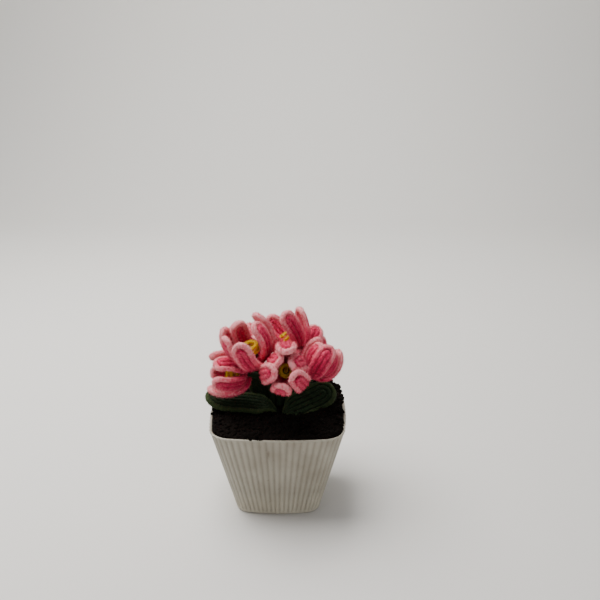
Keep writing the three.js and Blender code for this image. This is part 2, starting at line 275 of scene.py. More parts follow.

# %% [markdown]
# ### Foot, rim and inside
#
# The pot is drawn as rings that go from the foot up the outside, over the rim and down to the inside floor.
# The edges are rounded, as plastic from a mould always is, and the rim keeps a little of the ribs' waves.
# The depth of the flute is kept for every point, because the plastic below uses it to paint shade, in an
# earth colour, into the valleys. One smear of earth sits on the front.

# %% The rings of the pot
FOOT_EDGE = [(0, 3.2), (0, 1.6), (0.15, 1.15), (0.5, 0.95)]      # height and inset, rounded off
LOW_RINGS = (0.9, 1.4)           # heights over the floor
EVEN_FROM, EVEN_TO, EVEN_RINGS = 4, 3, 40        # over the floor, under the band, and how many
ARCH_RINGS = np.array([2.4, 1.9, 1.4, 1.0, 0.65, 0.4, 0.2])      # under the band, closer and closer
BAND_PROUD, RIM_WAVE = 0.4, 0.5
BAND_STEP = [(0, 0.05), (0.12, 0.3), (0.35, BAND_PROUD)]         # height, and how far it stands proud
LIP_HEIGHT, LIP_RINGS = 0.5, 9
INSIDE_RINGS = (60, 40, 20, POT_FLOOR + 1)       # heights; the inside is plain
FLOOR_CORNER = 1.5               # where the inside wall turns into the floor
SMEAR_AT, SMEAR_SIZE, SMEAR_TONE = (-6, -50, 60), (0.9, 4, 3), 2.5


def lip_insets(wave):
    """The round of the rim, from its outside to its inside, as heights and insets."""
    reach = (POT_WALL + BAND_PROUD - wave) / 2
    return [(POT_HEIGHT - LIP_HEIGHT + LIP_HEIGHT * math.sin(angle),
             wave - BAND_PROUD + reach * (1 - math.cos(angle)))
            for angle in np.linspace(0, math.pi, LIP_RINGS)]


def pot_rings():
    """All rings of the pot, and how deep in a flute each point lies, from 0 to 1."""
    band, wave = POT_HEIGHT - BAND, RIM_WAVE * valley
    sides = [*LOW_RINGS, *np.linspace(EVEN_FROM, band - EVEN_TO, EVEN_RINGS), *(band - ARCH_RINGS)]
    insets = [*FOOT_EDGE, *[(z, flute_depth(z)) for z in sides]]
    insets += [(band + height, wave - proud) for height, proud in BAND_STEP]
    insets += lip_insets(wave)
    insets += [(z, POT_WALL) for z in INSIDE_RINGS]
    insets.append((POT_FLOOR, POT_WALL + FLOOR_CORNER))
    rings = np.array([outline_at(z, inset, around) for z, inset in insets])
    depths = np.zeros(rings.shape[:2])   # the lowest ring of the flutes gets no painted shade
    fluted = slice(len(FOOT_EDGE) + 1, len(FOOT_EDGE) + len(sides))
    depths[fluted] = [inset for z, inset in insets[fluted]]
    from_smear = (rings - SMEAR_AT) / SMEAR_SIZE
    smear = SMEAR_TONE * np.exp(-np.sum(from_smear ** 2, axis=2))
    return rings, np.clip(depths / RIB_DEPTH, 0, 1) + smear


rings, depths = pot_rings()
print("rings of the pot:", len(rings), "with", rings.shape[1], "points each")

# %% [markdown]
# Rings of equal point count become a skin by joining each ring to the next with four-sided faces.
# The two ends are closed with a fan to a middle point.

# %% Skin the rings
def quads_between(count, n):
    """Four-sided faces between `count` rings of n points each."""
    k, i = np.indices((count - 1, n))
    j = (i + 1) % n
    return np.stack([k * n + i, k * n + j, (k + 1) * n + j, (k + 1) * n + i], axis=-1).reshape(-1, 4)


def skin(rings):
    """Points and faces of a closed skin over rings[k, i]: first the quads, then the two end fans."""
    count, n = rings.shape[:2]
    points = np.vstack([rings.reshape(-1, 3), rings[0].mean(axis=0), rings[-1].mean(axis=0)])
    here = np.arange(n)
    beside = (here + 1) % n
    last = (count - 1) * n
    fans = np.vstack([np.stack([beside, here, np.full(n, count * n)], axis=1),
                      np.stack([last + here, last + beside, np.full(n, count * n + 1)], axis=1)])
    return points, [quads_between(count, n), fans]


pot_points, pot_faces = skin(rings)
print("pot points:", len(pot_points))

# %% [markdown]
# ### White plastic
#
# Cheap white plastic is never one flat colour. It is warm and has yellowed in patches. Here its tone is
# darker than white, as painted shade, and it turns paler towards the foot, as painted light; the flute
# valleys get painted shade in an earth colour. The colours could be painted by hand; noise textures give the
# same unevenness without an image. These helpers make the nodes, one line each.

# %% Helpers for shader nodes
def node_of(material, kind, **settings):
    """A new shader node with its settings."""
    node = material.node_tree.nodes.new(kind)
    for key, value in settings.items():
        setattr(node, key, value)
    return node


def link(material, out, into):
    """Joins two sockets."""
    material.node_tree.links.new(out, into)


def noise(material, place, scale, detail=3.0, rough=0.55, stretch=(1, 1, 1)):
    """The output of a noise texture in object coordinates, in cycles per metre."""
    mapping = node_of(material, "ShaderNodeMapping")
    mapping.inputs["Scale"].default_value = stretch
    texture = node_of(material, "ShaderNodeTexNoise")
    texture.inputs["Scale"].default_value = scale
    texture.inputs["Detail"].default_value = detail
    texture.inputs["Roughness"].default_value = rough
    link(material, place.outputs["Object"], mapping.inputs["Vector"])
    link(material, mapping.outputs["Vector"], texture.inputs["Vector"])
    return texture.outputs["Fac"]


def ramp(material, factor, stops):
    """A colour ramp driven by `factor`; stops are (position, (r, g, b))."""
    node = node_of(material, "ShaderNodeValToRGB")
    points = node.color_ramp.elements
    while len(points) < len(stops):
        points.new(0.5)
    for point, (position, colour) in zip(points, stops):
        point.position = position
        point.color = (*colour, 1)
    link(material, factor, node.inputs["Fac"])
    return node.outputs["Color"]


def bump(material, shader, height, strength, distance_mm):
    """Sends a height to the shader's normal."""
    node = node_of(material, "ShaderNodeBump")
    node.inputs["Strength"].default_value = strength
    node.inputs["Distance"].default_value = distance_mm * MM
    link(material, height, node.inputs["Height"])
    link(material, node.outputs["Normal"], shader.inputs["Normal"])


# %% [markdown]
# Three more helpers bend a value to a range, add or multiply two values, and mix two colours.

# %% Helpers that combine values and colours
def between(material, value, low, high, full_at=1.0):
    """Maps 0..full_at to low..high."""
    node = node_of(material, "ShaderNodeMapRange")
    node.inputs["From Max"].default_value = full_at
    node.inputs["To Min"].default_value = low
    node.inputs["To Max"].default_value = high
    link(material, value, node.inputs["Value"])
    return node.outputs["Result"]


def maths(material, operation, a, b):
    """The sum or the product of two values."""
    node = node_of(material, "ShaderNodeMath", operation=operation)
    link(material, a, node.inputs[0])
    link(material, b, node.inputs[1])
    return node.outputs["Value"]


def mixed_colours(material, factor, a, b):
    """Two colours mixed by a factor: a where it is 0, b where it is 1."""
    node = node_of(material, "ShaderNodeMix", data_type="RGBA")
    link(material, factor, node.inputs["Factor"])
    link(material, a, node.inputs["A"])
    link(material, b, node.inputs["B"])
    return node.outputs["Result"]


# %% [markdown]
# The stored depth of the flute, broken up by a noise that is stretched upright, says where painted shade
# lies in the valleys, in an earth colour, and where the smear of earth lies. Fine noise scatters specks of
# earth and roughens the gloss.

# %% The pot's plastic
# The plastic is darker than white, as painted shade, and paler at the foot, as painted light
SHADED_PLASTIC = [(0.3, (0.30, 0.275, 0.215)), (0.7, (0.40, 0.375, 0.305))]
LIT_FOOT_PLASTIC = [(0.3, (0.50, 0.455, 0.355)), (0.7, (0.66, 0.62, 0.50))]
LIT_FOOT_HEIGHT = 22                  # painted light: the plastic is painted paler below this height
# An earth colour: for specks and the smear of earth, and for the painted shade in the flute valleys
DRY_EARTH_AND_SHADE = [(0.3, (0.11, 0.085, 0.055)), (0.7, (0.19, 0.155, 0.11))]
SPECKS = [(0.66, (0, 0, 0)), (0.74, (0.5, 0.5, 0.5))]
UPRIGHT_STREAKS = (1, 1, 0.12)   # noise that changes slowly up and down
EARTH_AND_SHADE_IN_FLUTES = (0.175, 0.65)  # how much of the earth colour, as painted shade and as earth, covers the plastic there, least and most
SATIN = (0.36, 0.6)              # roughness, least and most


def pot_plastic():
    """Warm white plastic darkened as painted shade and paler towards the foot as painted light, with painted
    shade in an earth colour in the flutes, specks of earth and a broken gloss.
    """
    material, shader = plain_material("pot plastic", (0.36, 0.335, 0.28), 0.45)
    place = node_of(material, "ShaderNodeTexCoord")
    patches = noise(material, place, scale=40, detail=4)
    height = node_of(material, "ShaderNodeSeparateXYZ")
    link(material, place.outputs["Object"], height.inputs["Vector"])
    # Painted light: the plastic turns paler towards the foot
    out_of_foot_light = between(material, height.outputs["Z"], 0.0, 1.0, full_at=LIT_FOOT_HEIGHT * MM)
    tone = mixed_colours(material, out_of_foot_light, ramp(material, patches, LIT_FOOT_PLASTIC),
                         ramp(material, patches, SHADED_PLASTIC))
    earth = ramp(material, noise(material, place, scale=200), DRY_EARTH_AND_SHADE)
    depth = node_of(material, "ShaderNodeAttribute", attribute_name="pale").outputs["Fac"]
    streaks = noise(material, place, scale=160, detail=5, rough=0.7, stretch=UPRIGHT_STREAKS)
    # Painted shade in an earth colour deep in the flutes, and the smear of earth
    in_flutes = maths(material, "MULTIPLY", depth, between(material, streaks, *EARTH_AND_SHADE_IN_FLUTES))
    soiled_and_shaded = mixed_colours(material, in_flutes, tone, earth)
    specks = ramp(material, noise(material, place, scale=420, detail=3, rough=0.6), SPECKS)
    link(material, mixed_colours(material, specks, soiled_and_shaded, earth), shader.inputs["Base Color"])
    grain = noise(material, place, scale=1400, detail=2)
    link(material, between(material, grain, *SATIN), shader.inputs["Roughness"])
    bump(material, shader, grain, strength=0.12, distance_mm=0.1)
    return material


unmarked_middles = [0, 0]           # the two middle points of the end fans
pot = make_piece("moulded_pot", pot_points, pot_faces, pot_plastic(), "pot",
                 pale=np.append(depths.reshape(-1), unmarked_middles))
print("pot:", len(pot.data.polygons), "faces")

# %% [markdown]
# ## Fluffy strand
#
# A chenille stem is a wire with thousands of fibres standing out from it. Real hair would be too
# heavy and isn't part of a plain mesh, so the strand is a tube whose points are
# pushed in and out at random: the outer ones are the ends of little tufts, the inner ones
# the dark gaps between them. A few long thin blades stand out of it as loose fibres.
#
# First come two helpers for paths. Tufts must be equally dense on every strand, so a path is
# walked in even steps. And a tube that turned about its own path would look wrung, so a
# side direction is carried along and only ever bent as much as the path itself.

# %% Walk a path
def even_steps(path, spacing, *others):
    """The path at even distances, and any other per-point arrays read at the same places."""
    lengths = np.concatenate([[0], np.cumsum(np.linalg.norm(np.diff(path, axis=0), axis=1))])
    count = max(3, int(round(lengths[-1] / spacing)) + 1)
    at = np.linspace(0, lengths[-1], count)

    def read(values):
        values = np.asarray(values, float)
        if values.ndim == 1:
            return np.interp(at, lengths, values)
        return np.stack([np.interp(at, lengths, values[:, c]) for c in range(values.shape[1])], axis=1)
    return [read(path), *[read(o) for o in others]]


def steady_sides(path):
    """A side direction along a path that turns no more than the path itself does."""
    along = normalised(np.gradient(path, axis=0))
    steep = abs(along[0][2]) >= 0.9
    side = np.cross(along[0], [1.0, 0, 0] if steep else [0.3, 0.2, 1.0])
    sides = [normalised(side)]
    for direction in along[1:]:
        side = sides[-1] - direction * np.dot(sides[-1], direction)
        sides.append(normalised(side))
    return np.array(sides)


# %% [markdown]
# All strands of one petal or leaf become one mesh. Each strand gets a row of its own in the lower
# part of the UV map, and each loose fibre a tiny triangle in the upper part.

# %% Gather the strands of a piece
TUFT_STEP = 0.55                 # distance from one ring of tufts to the next
TUFTS_ROUND = 14                 # tufts in a ring
LOOSE_PER_MM = 34                # loose fibres on a millimetre of strand
SKIN_SHARE, ROW_FILL = 0.6, 0.94         # height of the map's lower part; how full its rows are
BLADES_FROM, BLADES_SHARE, BLADE_FILL = 0.61, 0.38, 0.9      # the same for its upper part


def blade_map(number):
    """A small triangle of its own on the UV map for each loose fibre."""
    columns = math.ceil(math.sqrt(number / BLADES_SHARE)) + 1
    rows = math.ceil(number / columns)
    i = np.arange(number)
    x, y = (i % columns) / columns, BLADES_FROM + BLADES_SHARE * (i // columns) / rows
    width, height = BLADE_FILL / columns, BLADES_SHARE * BLADE_FILL / rows
    return np.stack([x, y, x + width, y, x + width / 2, y + height], axis=1).reshape(-1, 3, 2)


class Fluff:
    """The strands of one piece, gathered into one mesh."""

    def __init__(self, seed, strands, step=TUFT_STEP, tufts=TUFTS_ROUND, loose=LOOSE_PER_MM):
        self.random = np.random.default_rng(seed)
        self.strands, self.done = strands, 0
        self.step, self.tufts, self.loose = step, tufts, loose
        self.points, self.pale, self.count = [], [], 0
        self.skins, self.skin_uv, self.blades = [], [], []

    def keep(self, points, pale):
        """Keeps points and their tones, and returns the number of the first one."""
        first = self.count
        self.points.append(points.reshape(-1, 3))
        self.pale.append(pale.reshape(-1))
        self.count += pale.size
        return first

    def make(self, name, dye, node):
        """Makes the piece of all strands."""
        blades = np.vstack(self.blades)
        uv = [*self.skin_uv, blade_map(len(blades))]
        pale = np.clip(np.concatenate(self.pale), 0, 1)
        return make_piece(name, np.vstack(self.points), [*self.skins, blades], dye, node, uv, pale)


print("tufts on a millimetre of strand:", round(TUFTS_ROUND / TUFT_STEP))

# %% [markdown]
# Where two strands lie side by side the light can't get in between them, and the seam is dark.
# The pile that faces out of the sheet, in front and behind, is pale, and so is the side at the
# open edge of a petal. The same rule serves the tufts and the loose fibres.

# %% The tufted skin and its tone
PRESSED = 0.25                   # tone in the seam between two strands, as a share of the open tone


def in_the_open(angle, edge):
    """The light on a strand's pile, 1 where it stands free; and how far that is an open edge."""
    open_edge = np.clip(np.sin(angle) * edge, 0, 1)
    return PRESSED + (1 - PRESSED) * np.maximum(np.abs(np.cos(angle)), open_edge), open_edge


def add_skin(fluff, rings, shade):
    """The tufted skin of a strand, with a closed end on both sides."""
    count, n = shade.shape
    start = fluff.keep(rings, shade)
    fluff.skins.append(start + quads_between(count, n))
    k, i = np.indices((count - 1, n))
    low = fluff.done / fluff.strands * SKIN_SHARE
    high = (fluff.done + ROW_FILL) / fluff.strands * SKIN_SHARE
    u0, u1 = k / (count - 1), (k + 1) / (count - 1)
    v0, v1 = low + (high - low) * i / n, low + (high - low) * (i + 1) / n
    fluff.skin_uv.append(np.stack([u0, v0, u0, v1, u1, v1, u1, v0], axis=-1).reshape(-1, 4, 2))
    ring = np.arange(n)
    v = low + (high - low) * ring / n
    fluff.skins.append(np.stack([start + ring[::-1], start + (count - 1) * n + ring]))
    fluff.skin_uv.append(np.stack([np.stack([0 * v, v[::-1]], axis=1), np.stack([0 * v + 1, v], axis=1)]))


# %% [markdown]
# A loose fibre is a thin blade: one triangle that is rooted inside the pile and ends in a point outside it.
# Its root is painted a little darker than the pile, as shade, and its tip much paler, as light.

# %% Loose fibres
BLADE_HALF_WIDTH = 0.14          # at the root
ROOTED_AT, UNDER_PILE = 0.7, 0.3         # shares of the pile's radius: to the root, and above it
BLADE_LEAN, SHORTEST = 0.35, 0.3         # how wildly they lean; the shortest as a share of the longest
FIBRE_ROOT_SHADE, FIBRE_TIP_LIGHT = -0.1, 0.35         # painted shade at the root and painted light at the tip, added to the tone of the pile


def add_loose_fibres(fluff, path, directions, radius, pale, edge, reach):
    """Thin blades all round a strand; `reach` is how far the longest stand out."""
    along, out, right = directions
    number = int(len(path) * fluff.step * fluff.loose)
    at = fluff.random.integers(0, len(path), number)
    angle = fluff.random.uniform(0, 2 * math.pi, number)
    spoke = out[at] * np.cos(angle)[:, None] + right[at] * np.sin(angle)[:, None]
    turned = fluff.random.normal(0, 1, (number, 1))
    flat = normalised(np.cross(spoke, along[at]) + along[at] * turned) * BLADE_HALF_WIDTH
    root = path[at] + spoke * radius[at, None] * ROOTED_AT
    lean = fluff.random.normal(0, BLADE_LEAN, (number, 3))
    length = fluff.random.uniform(SHORTEST, 1.0, (number, 1)) * reach + UNDER_PILE * radius[at, None]
    tip = root + normalised(spoke + lean) * length
    tone = pale[at] * in_the_open(angle, edge[at])[0]
    start = fluff.keep(np.stack([root - flat, root + flat, tip], axis=1),
                       np.stack([tone + FIBRE_ROOT_SHADE, tone + FIBRE_ROOT_SHADE, tone + FIBRE_TIP_LIGHT], axis=1))
    fluff.blades.append(start + np.arange(number * 3).reshape(-1, 3))


# %% [markdown]
# One strand is both together. `sheet` is the direction square to the petal or leaf at each point:
# it fixes which side of the strand looks out of the sheet. Where there is no sheet, as on a
# round stem, the steady side direction takes its place.

# %% One strand
TUFT_JITTER = 0.3                # how far a tuft is off its place, as a share of a step
PILE_LEAST, PILE_MORE = 0.74, 0.34       # radius of the inner points, and what a tuft adds
END_SIZE = 0.35                  # the ends of a strand are drawn in to this share
TUFT_CONTRAST, EDGE_HIGHLIGHT = 0.38, 0.16    # painted shade in the gaps to painted light on the tufts; painted highlight added on an open edge


def add_strand(fluff, path, radius, sheet=None, pale=0.5, edge=0, reach=1.0):
    """Adds one strand. `pale` is its tone, and `edge` is 1 where its right-hand side is open."""
    sheet = steady_sides(path) if sheet is None else sheet
    same = np.ones(len(path))
    path, sheet, radius, pale, edge = even_steps(path, fluff.step, sheet, radius * same,
                                                 pale * same, edge * same)
    size = (len(path), fluff.tufts)
    along = normalised(np.gradient(path, axis=0))
    out = normalised(sheet - along * np.sum(sheet * along, axis=1, keepdims=True))
    right = np.cross(along, out)
    half_step = 0.5 * (np.arange(len(path))[:, None] % 2)
    jitter = fluff.random.uniform(-TUFT_JITTER, TUFT_JITTER, size)
    angle = (np.arange(fluff.tufts)[None, :] + half_step + jitter) * 2 * math.pi / fluff.tufts
    tuft = fluff.random.uniform(0, 1, size)
    slide = fluff.random.uniform(-TUFT_JITTER, TUFT_JITTER, size) * fluff.step
    spoke = out[:, None] * np.cos(angle)[..., None] + right[:, None] * np.sin(angle)[..., None]
    pile = radius[:, None] * (PILE_LEAST + PILE_MORE * tuft)
    pile[[0, -1]] *= END_SIZE
    rings = path[:, None] + spoke * pile[..., None] + along[:, None] * slide[..., None]
    light, open_edge = in_the_open(angle, edge[:, None])
    shade = pale[:, None] * light + TUFT_CONTRAST * (tuft - 0.5) + EDGE_HIGHLIGHT * open_edge
    add_skin(fluff, rings, shade)
    add_loose_fibres(fluff, path, (along, out, right), radius, pale, edge, reach)
    fluff.done += 1


sample = Fluff(seed=1, strands=1)
add_strand(sample, np.array([(0.0, 0, 0), (0, 5, 0), (0, 10, 0)]), radius=2)
print("points of 10 mm of strand:", sample.count)

# %% [markdown]
# ### Three dyes
#
# Dyed pile is deep and saturated where light goes far in among the fibres, and pale where the tips catch it.
# A plain colour would look like felt. One colour ramp over `pale` paints this shade and light for each dye,
# from deep in shade to pale in the light. Sheen adds the soft bright edge that any velvet has; it is a
# number on the shader.

# %% Chenille dyes
# Each ramp runs from the dye in painted shade to the dye in painted light
PINK_DYE_LIT_AND_SHADED = [(0.05, (0.25, 0.001, 0.016)), (0.36, (0.55, 0.009, 0.074)),
            (0.62, (0.71, 0.08, 0.150)), (0.98, (0.83, 0.34, 0.355))]
YELLOW_DYE_LIT_AND_SHADED = [(0.05, (0.28, 0.10, 0.001)), (0.4, (0.55, 0.31, 0.002)),
              (0.7, (0.72, 0.50, 0.006)), (0.95, (0.82, 0.62, 0.03))]
GREEN_DYE_LIT_AND_SHADED = [(0.05, (0.002, 0.004, 0.001)), (0.4, (0.008, 0.018, 0.005)),
             (0.7, (0.012, 0.024, 0.007)), (0.98, (0.030, 0.045, 0.013))]
FINE_SHADES, BROAD_SHADES = (-0.16, 0.16), (-0.26, 0.22)         # what the noise adds to the depth


def chenille(name, dye, sheen_tint, sheen):
    """Dyed pile: colour from the depth in the pile, painted from shade to light, broken up by fine and broad
    noise.
    """
    material, shader = plain_material(name, dye[1][1], 0.85)
    place = node_of(material, "ShaderNodeTexCoord")
    depth = node_of(material, "ShaderNodeAttribute", attribute_name="pale").outputs["Fac"]
    fine = between(material, noise(material, place, scale=1600, detail=2), *FINE_SHADES)
    broad = between(material, noise(material, place, scale=130, detail=2), *BROAD_SHADES)
    uneven = maths(material, "ADD", maths(material, "ADD", depth, fine), broad)
    link(material, ramp(material, uneven, dye), shader.inputs["Base Color"])
    shader.inputs["Sheen Weight"].default_value = sheen
    shader.inputs["Sheen Roughness"].default_value = 0.45
    shader.inputs["Sheen Tint"].default_value = (*sheen_tint, 1)
    shader.inputs["Specular IOR Level"].default_value = 0.2
    bump(material, shader, noise(material, place, scale=2600, detail=1), strength=0.3, distance_mm=0.15)
    return material


pink = chenille("pink chenille", PINK_DYE_LIT_AND_SHADED, (1.0, 0.6, 0.6), 0.35)
yellow = chenille("yellow chenille", YELLOW_DYE_LIT_AND_SHADED, (1.0, 0.9, 0.5), 0.25)
green = chenille("green chenille", GREEN_DYE_LIT_AND_SHADED, (0.5, 0.7, 0.4), 0.12)
print("dyes:", ", ".join(dye.name for dye in (pink, yellow, green)))

# %% [markdown]
# ## The bunch
#
# Each flower is described once, and its stem, petals and stamen are all made from these values.
# They were bent nearly alike and then pushed about by hand, which is what the three lists at the
# end of a flower's values say, petal by petal. One flower has five petals, the others six.

# %% Seven flowers
VIEWED_FROM = (0, -0.93, 0.37)   # petals are counted from the side of a flower that looks this way


def tulip(at, axis, length, lean, curl, foot, petals=6, face=VIEWED_FROM, swing=0, spread=0, trim=0):
    """One flower. `at` is the end of the stem and `axis` the way the flower opens. A petal is `length`
    long, stands `lean` degrees off the axis at its root and has curled back by `curl` at its tip.
    `foot` is the stem's place in the sheaf in degrees, or None in the middle. The last three move
    single petals: degrees round the flower, degrees outwards, and millimetres shorter."""
    each = {"swing": swing, "spread": spread, "trim": trim}
    return dict(at=np.array(at, float), axis=normalised(np.array(axis, float)),
                face=np.array(face, float), length=length, lean=lean, curl=curl, foot=foot, petals=petals,
                **{key: np.broadcast_to(value, petals) for key, value in each.items()})


FLOWERS = {
    "left_upper": tulip((-15.5, -18, 122.6), (-0.33, -0.11, 0.94), length=36, lean=50, curl=96, foot=210,
                        swing=(0, 0, 22, -5, -7, -17), spread=(0, 0, 0, 10, 18, 22),
                        trim=(0, 1, 1, 3, 0, 2)),
    "top": tulip((14.3, 16, 119.2), (-0.67, 0.08, 0.74), length=37, lean=48, curl=46, foot=None,
                 swing=(-34, -8, 5, -15, -20, -37), spread=(0, -4, 0, 0, 0, 30),
                 trim=(0, 9, 0, 0, 0, 11)),
    "front": tulip((6.2, -20, 113.4), (0.02, -0.9, 0.44), length=37, lean=54, curl=112, foot=270,
                   face=(0, 0, 1), swing=(-10, -20, -14, -9, 0, 0), spread=(-1, -4, 12, -8, -6, 6)),
    "left_low": tulip((-25.5, -5, 103.8), (-0.98, -0.18, 0.12), length=30, lean=34, curl=68, foot=150,
                      petals=5, swing=(-2, -3, 0, 3, 4)),
    "right": tulip((28, -4, 106.4), (0.52, 0.27, 0.81), length=26, lean=34, curl=78, foot=330,
                   spread=(-12, -12, -8, 0, 0, 0)),
    "back_right": tulip((18.5, 28, 102), (0.30, 0.85, 0.42), length=30, lean=40, curl=72, foot=30),
    "back_left": tulip((-18.5, 27.5, 106), (-0.45, 0.82, 0.35), length=32, lean=42, curl=74, foot=90),
}
print("petals to bend:", sum(flower["petals"] for flower in FLOWERS.values()))

# %% [markdown]
# ## Stems
#
# Seven stems stand in one sheaf, and each bends out to its own flower. A Catmull-Rom curve passes
# through every given point, which suits a wire that was bent by hand at a few places. A
# Bezier curve would need handles as well.

# %% Bent wires
STEM_RADIUS, STEM_FLUFF = 2.1, 0.25      # the stem, and how far its pile stands out of it
SHEAF_CENTRE, SHEAF_PITCH, SHEAF_OPENS = np.array([1.0, 5.0]), 5.6, 1.1
WIRE_FROM, PILE_FROM, SHEAF_HEIGHT = -20, -4, 12     # heights over the rim: wire, pile, sheaf's top
NECK = (8, 4)                            # how far under the flower a stem is straight
SEAT = 3.2                               # how far it reaches up between the petals


def smooth_path(given, per_span=24):
    """A centripetal Catmull-Rom curve through the given points."""
    given = np.asarray(given, float)
    ends = np.vstack([2 * given[0] - given[1], given, 2 * given[-1] - given[-2]])
    curve = []
    for i in range(1, len(ends) - 2):
        a, b, c, d = ends[i - 1:i + 3]
        ab, bc, cd = (np.linalg.norm(q - p) ** 0.5 for p, q in ((a, b), (b, c), (c, d)))
        first = ((b - a) / ab - (c - a) / (ab + bc) + (c - b) / bc) * bc
        last = ((c - b) / bc - (d - b) / (bc + cd) + (d - c) / cd) * bc
        t = np.arange(per_span)[:, None] / per_span
        curve.append(b + first * t + (3 * (c - b) - 2 * first - last) * t**2
                     + (2 * (b - c) + first + last) * t**3)
    return np.vstack([*curve, given[-1:]])


def stem_path(flower):
    """The line of a stem, from just under the soil to its seat in the flower."""
    foot = SHEAF_CENTRE.copy()
    if flower["foot"] is not None:
        place = math.radians(flower["foot"])
        foot += SHEAF_PITCH * np.array([math.cos(place), math.sin(place)])
    head, axis = flower["at"], flower["axis"]
    path = smooth_path([(*foot, POT_HEIGHT + WIRE_FROM), (*foot, POT_HEIGHT),
                        (*(foot * SHEAF_OPENS), POT_HEIGHT + SHEAF_HEIGHT),
                        head - NECK[0] * axis, head - NECK[1] * axis, head + SEAT * axis])
    return path[path[:, 2] > POT_HEIGHT + PILE_FROM]


for number, (name, flower) in enumerate(FLOWERS.items()):
    fluff = Fluff(100 + number, strands=1)
    add_strand(fluff, stem_path(flower), STEM_RADIUS + STEM_FLUFF, pale=0.55, reach=0.6)
    fluff.make(f"fluffy_stem_{name}", green, f"stem_{name}")
    print("stem", name, fluff.count, "points")

# %% [markdown]
# ## Petals
#
# A petal is one strand bent into a long loop with a second, smaller loop inside it, so four strands
# lie side by side. All the strands of a petal lie on one bowl around the flower's axis. In
# profile the bowl is two arcs: a tight one that turns out from the stem, and a long one that
# rises and curls back in at the tip. Every second petal lies on a bowl one layer further out.

# %% The bowl that a petal lies on
ROOT_TURN, ROOT_CLEAR = 7.5, 0.5         # radius of the tight arc; its start outside the stem
LAYER_STEP = 3.9


def petal_bowl(length, lean, curl, layer):
    """A function (up, across, azimuth) -> points and outward directions, in the flower's own frame.
    `up` and `across` are distances on the petal, from its root and from its middle line."""
    step = layer * LAYER_STEP
    bend = ROOT_TURN + step
    upright = math.pi / 2 - math.radians(lean)
    bend_length = ROOT_TURN * upright
    long_turn = (length - bend_length) / math.radians(curl)
    root_r = STEM_RADIUS + ROOT_CLEAR
    start_r = root_r + bend * math.sin(upright)
    start_z = ROOT_TURN - bend * math.cos(upright)
    tip_turn = long_turn + step

    def at(up, across, azimuth):
        in_bend = up < bend_length
        first = np.minimum(up / ROOT_TURN, upright)
        heading = np.where(in_bend, first, upright + (up - bend_length) / long_turn)
        r = np.where(in_bend, root_r + bend * np.sin(first),
                     start_r + tip_turn * (np.sin(heading) - math.sin(upright)))
        z = np.where(in_bend, ROOT_TURN - bend * np.cos(first),
                     start_z - tip_turn * (np.cos(heading) - math.cos(upright)))
        angle = azimuth + across / r
        point = np.stack([r * np.cos(angle), r * np.sin(angle), z], axis=1)
        outward = np.stack([np.sin(heading) * np.cos(angle), np.sin(heading) * np.sin(angle),
                            -np.cos(heading)], axis=1)
        return point, outward
    return at


# %% [markdown]
# A loop runs up one side, turns over the tip as half an ellipse and comes down the other side. Near the root
# the strands are squeezed together, where they are twisted onto the stem, and they are painted darker there,
# as shade. The outer loop catches the light and is painted pale along its open edge, and the inner one is
# painted deeper in tone, as shade.

# %% The two loops of a petal
STRAND = 2.05                    # radius of the pile
PETAL_WIDTH = 14
# tone: the outer loop is painted as lit, the inner one deeper, as painted shade
PETAL_LOOPS = [
    dict(offset=PETAL_WIDTH / 2 - STRAND + 0.1, at_root=1.5, under_tip=STRAND - 0.3, tip=6.0,
         tone=0.94, edge=1),
    dict(offset=1.75, at_root=0.7, under_tip=STRAND + 3.4, tip=2.4, tone=0.56, edge=0),
]
ROOT_TUCK = 0.03                 # share of its length that a petal reaches back round the stem
WIDEST_FROM = 0.45               # share of the length at which a loop has its full width
BARE_ROOT = 0.15                 # share of the length with no open edge
SQUEEZED, SQUEEZED_TO = 0.66, 0.3        # the pile's size at the root; where it is full
FULLER, FULLER_FROM, FULLER_OVER = 0.12, 0.6, 0.3    # what the pile gains at the tip, and where
ROOT_SHADE = 0.3                 # painted shade: tone at the root, as a share of the tone at the tip
SIDE_POINTS, TIP_POINTS = 40, 14


def over_the_tip(up, side, end, points):
    """Goes on from the end of one side over the tip, as half an ellipse, and down the other side."""
    turn = np.linspace(0, math.pi / 2, points)[1:]
    t = np.concatenate([up, up[-1] + (end - up[-1]) * np.sin(turn)])
    across = np.concatenate([side, side[-1] * np.cos(turn)])
    return np.concatenate([t, t[-2::-1]]), np.concatenate([across, -across[-2::-1]])


def petal_loop(loop, length):
    """t, from 0 at the root to 1 at the tip, and across in mm, of a loop's points."""
    end = 1 - loop["under_tip"] / length
    up = np.linspace(-ROOT_TUCK, end - loop["tip"] / length, SIDE_POINTS)
    swell = np.sin(np.minimum(1, up / WIDEST_FROM) * math.pi / 2)
    side = loop["at_root"] + (loop["offset"] - loop["at_root"]) * swell
    return over_the_tip(up, side, end, TIP_POINTS)


def bend_petal(fluff, to_world, bowl, azimuth, length):
    """Adds the outer and the inner loop of one petal."""
    for loop in PETAL_LOOPS:
        t, across = petal_loop(loop, length)
        point, outward = bowl(t * length, across, azimuth)
        squeezed = SQUEEZED + (1 - SQUEEZED) * np.minimum(1, t / SQUEEZED_TO)
        fuller = 1 + FULLER * np.clip((t - FULLER_FROM) / FULLER_OVER, 0, 1)
        pale = loop["tone"] * (ROOT_SHADE + (1 - ROOT_SHADE) * t)
        edge = np.where(t < BARE_ROOT, 0.0, loop["edge"])
        add_strand(fluff, to_world(point), STRAND * squeezed * fuller,
                   to_world(outward, turn_only=True), pale, edge, reach=1.6)


# %% [markdown]
# Each flower has its own frame: its axis points the way the flower opens. The petals fan out from
# its back, evenly apart from what was pushed about by hand.

# %% Bend all the petals
FAN = {5: 66, 6: 60}             # degrees from petal to petal
FIRST_PETAL = {5: 48, 6: 60}     # degrees from the side that faces the viewer to the first petal


